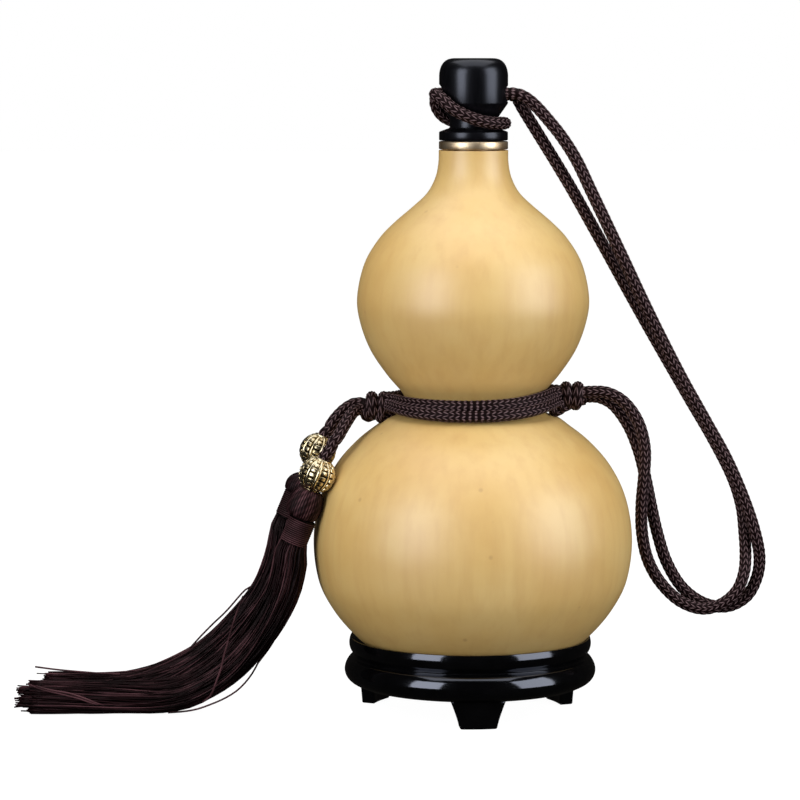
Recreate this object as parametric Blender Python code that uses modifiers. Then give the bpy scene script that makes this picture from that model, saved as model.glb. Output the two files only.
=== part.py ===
"""A dried two-lobed bottle gourd made into a stoppered flask, with its cord, beads, tassels and stand.

Sizes and places are millimetres, and MM turns them into metres. The origin is on the floor under the
gourd's axis, +Z is up, and -Y is the side that faces the viewer. Neighbours keep a gap of GAP.
"""

import math

import bmesh
import bpy
import numpy as np
from mathutils import Matrix, Vector

MM = 0.001
GAP = 0.3

# Gourd: its skin passes through these (radius, height) points, from the blossom scar up to the lip
GOURD_SKIN = [
    (0.0, 13.6), (10.0, 12.9), (21.0, 14.6), (31.0, 19.0), (40.4, 27.0), (47.2, 35.5), (51.6, 45.0),
    (53.1, 58.5), (50.9, 72.0), (45.8, 82.6), (38.8, 90.7), (32.0, 96.1), (28.6, 98.6), (25.2, 99.8),
    (23.1, 101.5), (22.4, 103.7), (22.8, 105.8), (24.2, 107.9), (28.9, 113.4), (34.2, 121.4), (37.6, 130.5),
    (38.6, 139.0), (36.2, 150.0), (31.4, 158.2), (26.2, 163.7), (20.0, 169.0), (15.3, 173.5), (12.6, 178.6),
    (11.6, 183.5), (11.5, 187.6),
]
RIND = 4.1
GOURD_SIDES = 36
SKIN_STEP = 6.0

# Mouth ring and stopper, with heights above the gourd's lip
LIP = 187.6
BRASS_RADIUS = 11.45
BRASS_HEIGHT = 2.7
BRASS_EDGE = 0.3
SLEEVE_OUTER = 7.1
SLEEVE_INNER = 6.3
SLEEVE_DEPTH = 11.0
STOPPER_SIDES = 32
STOPPER_OUTLINE = [
    (0.0, 27.0), (7.0, 27.0), (8.7, 26.6), (9.9, 25.7), (10.8, 24.3), (11.3, 22.7), (11.4, 21.3), (11.4, 12.2),
    (11.2, 11.8), (8.2, 7.6), (7.9, 7.0), (7.9, 4.2), (8.2, 3.9), (11.2, 2.8), (11.4, 2.6), (11.4, 0.0),
]
STOPPER_SEAT = LIP + 2 * GAP + BRASS_HEIGHT
SPIGOT_RADIUS = 3.2
SPIGOT_LENGTH = 13.0
CORK_RADIUS = 6.0
CORK_TAPER = 0.3
CORK_FOOT = 0.6
HOLE_HEIGHT = 206.2
HOLE_LENGTH = 30.0
HOLE_WIDE = 9.4
HOLE_TALL = 4.9
HOLE_ROUNDING = 1.6
MOUTH_DISHES = {(-12.6, 0.0, 205.0): (4.2, 7.8, 4.6), (12.2, 0.0, 206.2): (1.8, 5.8, 3.2)}

# Stand: its turned outer side as (radius, height), from the lip's crest down to the underside.
# Ring and feet stand a little to the left of the gourd's axis.
STAND_OUTLINE = [
    (39.8, 25.2), (40.1, 25.2), (40.4, 24.3), (40.55, 22.8), (40.2, 21.2), (39.4, 19.9), (38.9, 19.1),
    (39.2, 18.5), (40.4, 18.0), (41.6, 16.2), (42.1, 14.1), (41.6, 12.1), (40.3, 10.6), (38.4, 9.6),
]
STAND_SIDES = 48
STAND_CENTRE = (-0.8, 0.0, 0.0)
DISH_GAP = 0.35
DISH_SLACK = 0.8
FEET_CENTRE = (-1.8, 1.0, 0.0)
FOOT_TOP_WIDTH = 18.3
FOOT_BOTTOM_WIDTH = 12.1
FOOT_HEIGHT = 9.3
FOOT_THICKNESS = 4.8
FOOT_REACH = 36.8
FOOT_BEVEL = 0.6
FOOT_TURNS = {"stand_foot_front": 5.1, "stand_foot_left": -115.0, "stand_foot_right": 111.0}

# Braided cord
CORD_RADIUS = 2.05
STRAP_STEP = 9.0
SHORT_CORD_STEP = 3.0
WAIST_CORD_RADIUS = 1.9
WAIST_TURNS = {"waist_cord_upper": (25.5, 105.1), "waist_cord_lower": (27.2, 101.45)}
STRAP_OUTER = [
    (12.9, -2.35, 206.3), (14.8, -2.3, 206.0), (17.2, -2.3, 204.9), (20.5, -2.4, 202.2),
    (24.9, -2.4, 197.3), (29.5, -2.4, 191.5), (34.2, -2.4, 184.0), (38.9, -2.4, 174.2),
    (44.2, -2.4, 163.2), (50.2, -2.4, 150.7), (56.4, -2.4, 137.6),
    (62.8, -2.4, 124.7), (69.8, -2.4, 111.3), (77.3, -2.4, 98.0), (84.7, -2.4, 84.7), (90.6, -2.3, 71.2),
    (94.3, -1.9, 60.3), (96.1, 0.0, 51.5), (95.3, 1.5, 44.2), (91.9, 2.3, 37.8), (85.3, 2.4, 34.5),
    (77.5, 2.4, 35.8), (70.4, 2.4, 41.1), (65.2, 2.4, 49.6), (62.0, 2.4, 59.4), (59.8, 2.4, 68.9),
    (57.9, 2.4, 78.0), (55.6, 2.4, 87.0), (52.2, 2.4, 95.4), (47.4, 2.4, 102.2), (42.8, 2.4, 105.0),
    (38.8, 2.4, 105.4),
]
STRAP_INNER = [
    (13.1, 2.35, 205.6), (14.3, 2.3, 205.0), (15.8, 2.35, 202.2), (18.8, 2.4, 197.3),
    (23.1, 2.4, 190.4), (28.0, 2.4, 182.5), (33.1, 2.4, 174.0), (38.6, 2.4, 164.3),
    (44.5, 2.4, 153.8), (50.8, 2.4, 142.4), (57.6, 2.4, 130.3),
    (64.9, 2.4, 117.6), (72.6, 2.4, 104.4), (80.2, 2.4, 91.5), (86.7, 2.3, 78.9), (90.0, 2.3, 68.9),
    (91.1, 1.9, 59.9), (91.4, 0.0, 52.0), (90.7, -1.5, 46.1), (88.3, -2.3, 40.5), (83.4, -2.4, 36.2),
    (76.8, -2.4, 34.5), (69.4, -2.4, 37.1), (62.9, -2.4, 43.3), (58.5, -2.4, 51.2), (56.5, -2.4, 60.4),
    (56.3, -2.4, 69.9), (57.1, -2.4, 79.9), (57.2, -2.4, 89.0), (54.9, -2.4, 97.5), (50.3, -2.4, 104.0),
    (44.6, -2.4, 107.2), (38.8, -2.4, 107.5),
]
HITCH_ROUTE = [
    (12.0, -2.35, 206.3), (6.0, -2.35, 206.2), (-6.0, -2.35, 206.2), (-10.2, -2.6, 206.2), (-12.7, -4.2, 206.2),
    (-12.3, -7.4, 205.8), (-10.0, -9.9, 204.2), (-7.3, -11.5, 201.7), (-3.2, -11.8, 199.4), (1.0, -11.1, 197.8),
    (5.0, -9.4, 196.9), (8.5, -6.2, 196.6), (10.4, -1.5, 196.5), (9.7, 4.0, 196.5), (6.2, 8.6, 196.5),
    (0.0, 10.6, 196.6), (-5.9, 9.3, 196.9), (-9.6, 7.7, 198.4), (-11.8, 5.8, 200.9), (-12.6, 4.3, 203.8),
    (-11.7, 3.1, 205.8), (-9.0, 2.45, 206.2), (-6.0, 2.35, 206.2), (6.0, 2.35, 206.1), (12.0, 2.35, 205.8),
]
TASSEL_CORD_FRONT = [
    (-38.7, -3.0, 101.5), (-39.7, -5.2, 101.0), (-40.7, -7.4, 100.0), (-43.2, -11.7, 96.3), (-45.0, -13.8, 93.3),
    (-46.8, -14.4, 90.4), (-49.1, -14.5, 87.2), (-51.6, -14.5, 81.2), (-53.9, -14.5, 75.6),
]
TASSEL_CORD_BACK = [
    (-38.2, 2.3, 103.2), (-40.3, 1.8, 102.8), (-43.1, 0.0, 101.1), (-45.6, -2.1, 98.7), (-47.3, -3.4, 96.4),
    (-49.2, -4.0, 93.8), (-51.7, -4.0, 87.8), (-55.1, -4.0, 79.6),
]

# Knots that bind the two strands at each side of the waist
KNOTS = {"knot_right": (33.6, 0.0, 105.6), "knot_left": (-33.4, 0.0, 102.3)}
KNOT_TURN_RADIUS = 3.1
KNOT_TURN_OFFSET = 1.7
KNOT_TURN_LEAN = 8.0
KNOT_CORE_RADIUS = 2.8
KNOT_CORE_LENGTH = 6.4

# Beads and tassels, each pair strung along one line that leans out to the left
BEADS = {"front": (-51.6, -14.5, 81.2), "back": (-51.7, -4.0, 87.8)}
HANG = Vector((-0.38, 0.0, -0.925))
BEAD_RADIUS = 5.85
BEAD_BORE = 2.4
BEAD_RIBS = 12
BEAD_RIB_RISE = 0.3
RIB_START = 2.9
HEAD_OFFSET = 10.7
HEAD_OUTLINES = {
    "front": [
        (0.0, 4.1), (1.9, 4.1), (3.3, 4.2), (4.3, 3.9), (5.0, 3.2), (5.5, 2.0), (5.6, 0.5), (5.5, -1.4),
        (5.1, -3.2), (4.4, -4.1), (0.0, -4.1),
    ],
    "back": [
        (0.0, 1.6), (1.9, 1.6), (3.3, 1.5), (4.5, 0.6), (5.3, -0.7), (5.6, -2.2), (5.4, -3.4), (4.9, -4.1),
        (0.0, -4.1),
    ],
}
WRAP_OFFSET = 19.9
WRAP_SHIFT = {"front": (1.1, 0.0, -0.45), "back": (0.0, 0.0, 0.0)}
WRAP_RADIUS = 4.6
WRAP_LENGTH = 9.6
WRAP_ROUNDING = 0.5
THREAD_RIBS = 8
THREAD_RIB_RISE = 0.2
SKIRT_ROUTES = {
    "tassel_front_skirt": [
        (-60.3, -14.5, 56.4), (-60.9, -14.5, 50.6), (-62.9, -14.1, 42.3), (-66.8, -13.4, 34.1),
        (-71.6, -12.6, 27.0), (-76.8, -11.8, 20.8), (-82.4, -11.0, 15.6), (-88.8, -10.2, 11.2),
        (-96.0, -9.7, 7.8), (-104.6, -9.5, 6.2), (-115.0, -9.4, 5.9), (-126.4, -9.2, 5.8),
        (-137.7, -9.0, 5.8), (-149.4, -8.8, 5.8),
    ],
    "tassel_back_skirt": [
        (-62.2, -3.6, 63.8), (-62.7, -3.2, 57.0), (-64.3, -2.6, 50.6), (-67.5, -1.8, 43.0), (-72.4, -1.0, 35.2),
        (-78.7, -0.1, 27.6), (-85.6, 0.8, 20.8), (-92.9, 1.6, 15.4), (-101.3, 2.2, 11.0),
        (-110.8, 2.7, 7.8), (-121.6, 3.0, 6.3), (-132.9, 3.2, 6.1), (-145.0, 3.4, 6.0),
    ],
}
SKIRT_HALF_WIDTH = 5.4
SKIRT_NECK = 4.4
SKIRT_FLARE_LENGTH = 9.0
SKIRT_STEP = 6.5
SKIRT_SIDES = 24
SKIRT_RIB = 0.045
SKIRT_RAGGED = 2.4

PARTS = "dried_bottle_gourd"
CUTTERS = "cutters"


def clear_scene():
    for old in list(bpy.data.objects):
        bpy.data.objects.remove(old, do_unlink=True)
    for name in (PARTS, CUTTERS):
        bpy.context.scene.collection.children.link(bpy.data.collections.new(name))


def finish_material(name, colour, roughness, metallic=0.0):
    material = bpy.data.materials.new(name)
    material.use_nodes = True
    shader = material.node_tree.nodes["Principled BSDF"]
    shader.inputs["Base Color"].default_value = (*colour, 1.0)
    shader.inputs["Roughness"].default_value = roughness
    shader.inputs["Metallic"].default_value = metallic
    return material


def add_object(name, data, place=(0.0, 0.0, 0.0), material=None):
    """Links a new object, placed in millimetres."""
    made = bpy.data.objects.new(name, data)
    made.location = Vector(place) * MM
    if material:
        data.materials.append(material)
    bpy.data.collections[PARTS].objects.link(made)
    return made


def take_primitive(name, material, collection=PARTS):
    """Names the primitive that was just added and moves it to its collection."""
    made = bpy.context.object
    made.name = name
    made.data.name = name
    for old in list(made.users_collection):
        old.objects.unlink(made)
    bpy.data.collections[collection].objects.link(made)
    if material:
        made.data.materials.append(material)
    return made


def apply_modifiers(made):
    """Bakes an object's modifiers into its mesh."""
    graph = bpy.context.evaluated_depsgraph_get()
    baked = bpy.data.meshes.new_from_object(made.evaluated_get(graph))
    made.modifiers.clear()
    made.data = baked
    return made


def shade_smooth(made, angle=35.0):
    made.data.shade_smooth()
    made.data.set_sharp_from_angle(angle=math.radians(angle))


def curve_through(points, step):
    """Points along a smooth curve that passes through the given ones, about a step apart."""
    given = np.array(points, float)
    first = 2 * given[0] - given[1]
    last = 2 * given[-1] - given[-2]
    control = np.vstack([first, given, last])
    line = []
    for i in range(1, len(control) - 2):
        before, start, end, after = control[i - 1 : i + 3]
        count = max(1, round(np.linalg.norm(end - start) / step))
        for t in np.linspace(0.0, 1.0, count, endpoint=False):
            bend = 2 * before - 5 * start + 4 * end - after
            twist = 3 * start - before - 3 * end + after
            line.append(start + 0.5 * t * (end - before + t * (bend + t * twist)))
    return np.array([*line, given[-1]])


def offset_outline(outline, distance):
    """A (radius, height) outline moved sideways, outwards where the distance is positive."""
    along = np.gradient(outline, axis=0)
    along /= np.linalg.norm(along, axis=1)[:, None]
    moved = outline + distance * np.stack([along[:, 1], -along[:, 0]], axis=1)
    moved[outline[:, 0] < 0.01, 0] = 0.0
    return moved


def turned(name, outline, sides, material, closed=False, place=(0.0, 0.0, 0.0)):
    """A solid of revolution from a (radius, height) outline, given down its outer side."""
    mesh = bpy.data.meshes.new(name)
    points = [(radius * MM, 0.0, height * MM) for radius, height in outline]
    edges = [(i, i + 1) for i in range(len(points) - 1)]
    if closed:
        edges.append((len(points) - 1, 0))
    mesh.from_pydata(points, edges, [])
    made = add_object(name, mesh, place, material)
    screw = made.modifiers.new("turn", "SCREW")
    screw.steps = sides
    screw.render_steps = sides
    screw.use_merge_vertices = True
    screw.merge_threshold = 0.00005
    apply_modifiers(made)
    shade_smooth(made)
    return made


def loft(name, rings, material):
    """A closed solid through rings of points, each with the same number of points, capped at both ends."""
    mesh = bpy.data.meshes.new(name)
    build = bmesh.new()
    rows = [[build.verts.new(Vector(point) * MM) for point in ring] for ring in rings]
    for lower, upper in zip(rows, rows[1:]):
        for i in range(len(lower)):
            j = (i + 1) % len(lower)
            build.faces.new((lower[i], lower[j], upper[j], upper[i]))
    for row, centre_ring in ((rows[0][::-1], rings[0]), (rows[-1], rings[-1])):
        tip = build.verts.new(Vector(np.mean(centre_ring, axis=0)) * MM)
        for i in range(len(row)):
            build.faces.new((row[i], row[(i + 1) % len(row)], tip))
    bmesh.ops.triangulate(build, faces=build.faces[:])
    bmesh.ops.recalc_face_normals(build, faces=build.faces[:])
    build.to_mesh(mesh)
    build.free()
    made = add_object(name, mesh, material=material)
    shade_smooth(made, 60.0)
    return made


def make_gourd(material):
    skin = curve_through(GOURD_SKIN, SKIN_STEP)
    coarse = [GOURD_SKIN[0], *GOURD_SKIN[1:-1:2], GOURD_SKIN[-1]]
    hollow = offset_outline(np.array(coarse), -RIND)
    outline = [*skin[::-1], *hollow]
    return turned("gourd", outline, GOURD_SIDES, material, closed=True)


def make_mouth_ring(material):
    """The brass ring on the lip, with the sleeve that lines the neck's bore."""
    outline = [
        (SLEEVE_INNER, BRASS_HEIGHT), (BRASS_RADIUS - BRASS_EDGE, BRASS_HEIGHT),
        (BRASS_RADIUS, BRASS_HEIGHT - BRASS_EDGE), (BRASS_RADIUS, BRASS_EDGE),
        (BRASS_RADIUS - BRASS_EDGE, 0.0), (SLEEVE_OUTER, 0.0),
        (SLEEVE_OUTER, -SLEEVE_DEPTH), (SLEEVE_INNER, -SLEEVE_DEPTH),
    ]
    return turned("mouth_ring", outline, STOPPER_SIDES, material, closed=True, place=(0, 0, LIP + GAP))


def hole_cutter():
    """A flat slot along X for two strands side by side, with a worn dish at each mouth."""
    bpy.ops.mesh.primitive_cube_add(size=1.0)
    slot = take_primitive("hole_cutter", None, CUTTERS)
    slot.data.transform(Matrix.Diagonal((HOLE_LENGTH * MM, HOLE_WIDE * MM, HOLE_TALL * MM, 1.0)))
    slot.location = (0.0, 0.0, HOLE_HEIGHT * MM)
    round_off = slot.modifiers.new("round", "BEVEL")
    round_off.width = HOLE_ROUNDING * MM
    round_off.segments = 3
    cutters = [slot]
    for centre, radii in MOUTH_DISHES.items():
        bpy.ops.mesh.primitive_uv_sphere_add(segments=20, ring_count=12, radius=1.0)
        dish = take_primitive("mouth_dish", None, CUTTERS)
        dish.data.transform(Matrix.Diagonal((*(Vector(radii) * MM), 1.0)))
        dish.location = Vector(centre) * MM
        cutters.append(dish)
    for cutter in cutters:
        cutter.hide_render = True
        cutter.display_type = "WIRE"
    return cutters


def make_stopper(material):
    spigot = [(SPIGOT_RADIUS, 0.0), (SPIGOT_RADIUS, -SPIGOT_LENGTH), (0.0, -SPIGOT_LENGTH)]
    outline = [*STOPPER_OUTLINE, *spigot]
    stopper = turned("stopper", outline, STOPPER_SIDES, material, place=(0, 0, STOPPER_SEAT))
    for cutter in hole_cutter():
        cut = stopper.modifiers.new("hole", "BOOLEAN")
        cut.operation = "DIFFERENCE"
        cut.object = cutter
    return stopper


def make_cork(material):
    """The cork bush on the stopper's spigot, which seals in the brass sleeve."""
    bore = SPIGOT_RADIUS + GAP
    foot = CORK_FOOT - SPIGOT_LENGTH
    outline = [(bore, -GAP), (CORK_RADIUS, -GAP), (CORK_RADIUS - CORK_TAPER, foot), (bore, foot)]
    return turned("stopper_cork", outline, STOPPER_SIDES, material, closed=True, place=(0, 0, STOPPER_SEAT))


def make_stand_ring(material):
    """The turned ring, with a shallow dish that follows the gourd's underside."""
    skin = curve_through(GOURD_SKIN, SKIN_STEP)
    dish = offset_outline(skin, DISH_GAP)
    dish[1:, 0] += DISH_SLACK
    dish = dish[dish[:, 1] < STAND_OUTLINE[0][1] - DISH_GAP]
    outline = [*STAND_OUTLINE, (0.0, STAND_OUTLINE[-1][1]), *dish]
    return turned("stand_ring", outline, STAND_SIDES, material, closed=True, place=STAND_CENTRE)


def make_foot(name, turn, material):
    """A foot under the ring, wide at the top and tapered towards the floor."""
    bpy.ops.mesh.primitive_cube_add(size=1.0)
    foot = take_primitive(name, material)
    for corner in foot.data.vertices:
        top = corner.co.z > 0
        width = FOOT_TOP_WIDTH if top else FOOT_BOTTOM_WIDTH
        inward = FOOT_THICKNESS if corner.co.y > 0 else 0.0
        corner.co = Vector((corner.co.x * width, inward - FOOT_REACH, FOOT_HEIGHT if top else 0.0)) * MM
    foot.location = Vector(FEET_CENTRE) * MM
    foot.rotation_euler.z = math.radians(turn)
    edges = foot.modifiers.new("edges", "BEVEL")
    edges.width = FOOT_BEVEL * MM
    edges.segments = 2
    return foot


def make_cord(name, route, step, material):
    """A stretch of cord as a round tube along its route."""
    curve = bpy.data.curves.new(name, "CURVE")
    curve.dimensions = "3D"
    curve.bevel_depth = CORD_RADIUS * MM
    curve.bevel_resolution = 2
    curve.use_fill_caps = True
    points = curve_through(route, step)
    spline = curve.splines.new("POLY")
    spline.points.add(len(points) - 1)
    for control, point in zip(spline.points, points):
        control.co = (*(Vector(point) * MM), 1.0)
    return add_object(name, curve, material=material)


def make_waist_turn(name, radius, height, material):
    """One turn of the cord round the gourd's waist."""
    bpy.ops.mesh.primitive_torus_add(
        major_radius=radius * MM, minor_radius=WAIST_CORD_RADIUS * MM, major_segments=36, minor_segments=8
    )
    turn = take_primitive(name, material)
    turn.location.z = height * MM
    turn.data.shade_smooth()
    return turn


def union_of(pieces):
    """Joins overlapping objects in the first one and removes the rest."""
    body = pieces[0]
    for other in pieces[1:]:
        join = body.modifiers.new("join", "BOOLEAN")
        join.operation = "UNION"
        join.object = other
    apply_modifiers(body)
    for other in pieces[1:]:
        bpy.data.objects.remove(other, do_unlink=True)
    return body


def make_knot(name, place, material):
    """Two turns of cord drawn tight side by side round the strands that run through them."""
    pieces = []
    for side in (-1, 1):
        bpy.ops.mesh.primitive_torus_add(
            major_radius=KNOT_TURN_RADIUS * MM, minor_radius=CORD_RADIUS * MM,
            major_segments=20, minor_segments=8,
        )
        turn = take_primitive(name, material)
        lean = Matrix.Rotation(math.radians(side * KNOT_TURN_LEAN), 4, "Y")
        upright = Matrix.Rotation(math.radians(90.0), 4, "Y")
        aside = Matrix.Translation(Vector((side * KNOT_TURN_OFFSET, 0.0, 0.0)) * MM)
        turn.data.transform(aside @ lean @ upright)
        pieces.append(turn)
    bpy.ops.mesh.primitive_cylinder_add(vertices=16, radius=KNOT_CORE_RADIUS * MM, depth=KNOT_CORE_LENGTH * MM)
    core = take_primitive(name, material)
    core.data.transform(Matrix.Rotation(math.radians(90.0), 4, "Y"))
    pieces.append(core)
    knot = union_of(pieces)
    knot.name = name
    knot.location = Vector(place) * MM
    shade_smooth(knot)
    return knot


def lean_to(direction):
    """The turn that takes a piece's own +Z to a direction."""
    return Vector((0.0, 0.0, 1.0)).rotation_difference(direction).to_euler()


def raise_ribs(made, count, rise):
    """Raises upright ribs from a turned surface by a wave round its axis."""
    for vertex in made.data.vertices:
        radius = math.hypot(vertex.co.x, vertex.co.y)
        if radius < RIB_START * MM:
            continue
        wave = 1.0 + rise * MM / radius * math.cos(count * math.atan2(vertex.co.y, vertex.co.x))
        vertex.co.x *= wave
        vertex.co.y *= wave
    return made


def make_bead(name, centre, material):
    """A round brass bead with upright ribs and a bore that the cord fills."""
    start = math.asin(BEAD_BORE / BEAD_RADIUS)
    angles = np.linspace(start, math.pi - start, 10)
    outline = [(BEAD_RADIUS * math.sin(a), BEAD_RADIUS * math.cos(a)) for a in angles]
    bead = turned(name, outline, 2 * BEAD_RIBS, material, closed=True, place=centre)
    raise_ribs(bead, BEAD_RIBS, BEAD_RIB_RISE)
    bead.rotation_euler = lean_to(-HANG)
    return bead


def make_tassel_head(name, outline, centre, material):
    """The domed fold of threads at a tassel's top."""
    head = turned(name, outline, 3 * THREAD_RIBS, material, place=centre)
    raise_ribs(head, THREAD_RIBS, THREAD_RIB_RISE)
    head.rotation_euler = lean_to(-HANG)
    return head


def make_tassel_wrap(name, centre, material):
    """The fine thread wound round a tassel's neck."""
    half = WRAP_LENGTH / 2
    inside = WRAP_RADIUS - WRAP_ROUNDING
    level = half - WRAP_ROUNDING
    outline = [(0.0, half), (inside, half), (WRAP_RADIUS, level)]
    outline += [(WRAP_RADIUS, -level), (inside, -half), (0.0, -half)]
    wrap = turned(name, outline, 20, material, place=centre)
    wrap.rotation_euler = lean_to(-HANG)
    return wrap


def make_skirt(name, route, material):
    """A tassel's hanging threads as one ribbed body that opens below the wrap and ends ragged."""
    line = curve_through(route, SKIRT_STEP)
    along = np.gradient(line, axis=0)
    along /= np.linalg.norm(along, axis=1)[:, None]
    run = np.concatenate([[0.0], np.cumsum(np.linalg.norm(np.diff(line, axis=0), axis=1))])
    rings = []
    for i, centre in enumerate(line):
        sideways = np.cross(along[i], (0.0, 1.0, 0.0))
        sideways /= np.linalg.norm(sideways)
        depthways = np.cross(sideways, along[i])
        opened = min(1.0, run[i] / SKIRT_FLARE_LENGTH)
        size = SKIRT_NECK + (SKIRT_HALF_WIDTH - SKIRT_NECK) * math.sin(0.5 * math.pi * opened)
        last = i == len(line) - 1
        ring = []
        for j in range(SKIRT_SIDES):
            angle = 2 * math.pi * j / SKIRT_SIDES
            reach = size * (1.0 + SKIRT_RIB * opened * math.cos(THREAD_RIBS * angle))
            point = centre + reach * (math.cos(angle) * sideways + math.sin(angle) * depthways)
            if last:
                point = point + SKIRT_RAGGED * math.sin(5.0 * angle + 1.0) * along[i]
            ring.append(point)
        rings.append(ring)
    return loft(name, rings, material)


def make_tassel(side, bead_centre, brass, silk):
    """A bead with its tassel's head and wrap, all on the line that the pair hangs along."""
    start = Vector(bead_centre)
    make_bead(f"bead_{side}", start, brass)
    make_tassel_head(f"tassel_{side}_head", HEAD_OUTLINES[side], start + HEAD_OFFSET * HANG, silk)
    make_tassel_wrap(f"tassel_{side}_wrap", start + WRAP_OFFSET * HANG + Vector(WRAP_SHIFT[side]), silk)
    name = f"tassel_{side}_skirt"
    make_skirt(name, SKIRT_ROUTES[name], silk)


def build():
    clear_scene()
    HANG.normalize()
    rind = finish_material("gourd_rind", (0.62, 0.31, 0.09), 0.42)
    brass = finish_material("brass", (0.72, 0.48, 0.22), 0.3, 1.0)
    ebony = finish_material("stopper_black", (0.012, 0.012, 0.014), 0.28)
    cork = finish_material("cork", (0.42, 0.26, 0.13), 0.85)
    lacquer = finish_material("stand_lacquer", (0.008, 0.008, 0.01), 0.12)
    braid = finish_material("braided_cord", (0.045, 0.02, 0.028), 0.75)
    silk = finish_material("tassel_silk", (0.03, 0.008, 0.012), 0.5)
    make_gourd(rind)
    make_mouth_ring(brass)
    make_stopper(ebony)
    make_cork(cork)
    make_stand_ring(lacquer)
    for name, turn in FOOT_TURNS.items():
        make_foot(name, turn, lacquer)
    for name, (radius, height) in WAIST_TURNS.items():
        make_waist_turn(name, radius, height, braid)
    for name, place in KNOTS.items():
        make_knot(name, place, braid)
    make_cord("stopper_hitch", HITCH_ROUTE, SHORT_CORD_STEP, braid)
    make_cord("strap_outer", STRAP_OUTER, STRAP_STEP, braid)
    make_cord("strap_inner", STRAP_INNER, STRAP_STEP, braid)
    make_cord("tassel_cord_front", TASSEL_CORD_FRONT, SHORT_CORD_STEP, braid)
    make_cord("tassel_cord_back", TASSEL_CORD_BACK, SHORT_CORD_STEP, braid)
    for side, centre in BEADS.items():
        make_tassel(side, centre, brass, silk)


build()
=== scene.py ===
import math
import random

import bpy
import numpy as np
from mathutils import Matrix, Vector


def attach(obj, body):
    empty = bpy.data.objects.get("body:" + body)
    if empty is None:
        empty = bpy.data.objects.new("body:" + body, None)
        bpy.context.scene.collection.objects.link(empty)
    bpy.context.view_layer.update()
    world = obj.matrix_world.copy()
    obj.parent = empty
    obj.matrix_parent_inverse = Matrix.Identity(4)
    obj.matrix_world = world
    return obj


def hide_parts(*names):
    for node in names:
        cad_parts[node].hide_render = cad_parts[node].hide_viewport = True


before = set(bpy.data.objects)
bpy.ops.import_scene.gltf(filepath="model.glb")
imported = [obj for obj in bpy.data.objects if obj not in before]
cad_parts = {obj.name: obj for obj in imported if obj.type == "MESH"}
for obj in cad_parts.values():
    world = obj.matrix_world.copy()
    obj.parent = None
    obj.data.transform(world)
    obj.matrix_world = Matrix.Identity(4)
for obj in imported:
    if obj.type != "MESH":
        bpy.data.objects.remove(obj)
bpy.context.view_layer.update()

MM = 0.001  # lengths below are millimetres

# Camera: the flask stands at eye level on a table, seen from a little above its stopper and
# from just left of its axis, with a long lens.
CAMERA_PLACE = (-24.3, -1146.7, 222.8)
CAMERA_DIP = 5.89  # degrees below the horizon
CAMERA_LENS = 155.63
bpy.ops.object.select_all(action="DESELECT")
bpy.ops.object.camera_add(
    location=Vector(CAMERA_PLACE) * MM, rotation=(math.radians(90 - CAMERA_DIP), 0, 0)
)
camera = bpy.context.object
camera.data.sensor_width = 36
camera.data.lens = CAMERA_LENS
camera.data.clip_end = 20
bpy.context.scene.camera = camera

# The gourd: one dried fruit with a hard woody rind, honey yellow and rubbed to a satin shine.
# It grew in two lobes with a narrow waist, and its neck is cut straight across for the mouth.
GOURD_SKIN = [
    (0.0, 13.6), (10.0, 12.9), (21.0, 14.6), (31.0, 19.0), (40.4, 27.0), (47.2, 35.5), (51.6, 45.0),
    (53.1, 58.5), (50.9, 72.0), (45.8, 82.6), (38.8, 90.7), (32.0, 96.1), (28.6, 98.6), (25.2, 99.8),
    (23.1, 101.5), (22.4, 103.7), (22.8, 105.8), (24.2, 107.9), (28.9, 113.4), (34.2, 121.4),
    (37.6, 130.5), (38.6, 139.0), (36.2, 150.0), (31.4, 158.2), (26.2, 163.7), (20.0, 169.0),
    (15.3, 173.5), (12.6, 178.6), (11.6, 183.5), (11.5, 187.6),
]
RIND = 4.1
LIP = 187.6
CREASE = math.radians(35)  # edges sharper than this stay crisp when a piece is shaded smooth


def smooth_route(points, step):
    """Evenly spaced points on a smooth curve through the given ones."""
    given = np.array(points, float)
    control = np.vstack([2 * given[0] - given[1], given, 2 * given[-1] - given[-2]])
    fine = []
    for i in range(1, len(control) - 2):
        before, start, end, after = control[i - 1 : i + 3]
        for t in np.linspace(0.0, 1.0, 16, endpoint=False):
            bend = 2 * before - 5 * start + 4 * end - after
            twist = 3 * start - before - 3 * end + after
            fine.append(start + 0.5 * t * (end - before + t * (bend + t * twist)))
    fine = np.array([*fine, given[-1]])
    run = np.concatenate([[0.0], np.cumsum(np.linalg.norm(np.diff(fine, axis=0), axis=1))])
    marks = np.linspace(0.0, run[-1], max(3, round(run[-1] / step) + 1))
    return np.stack([np.interp(marks, run, column) for column in fine.T], axis=1)


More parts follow.
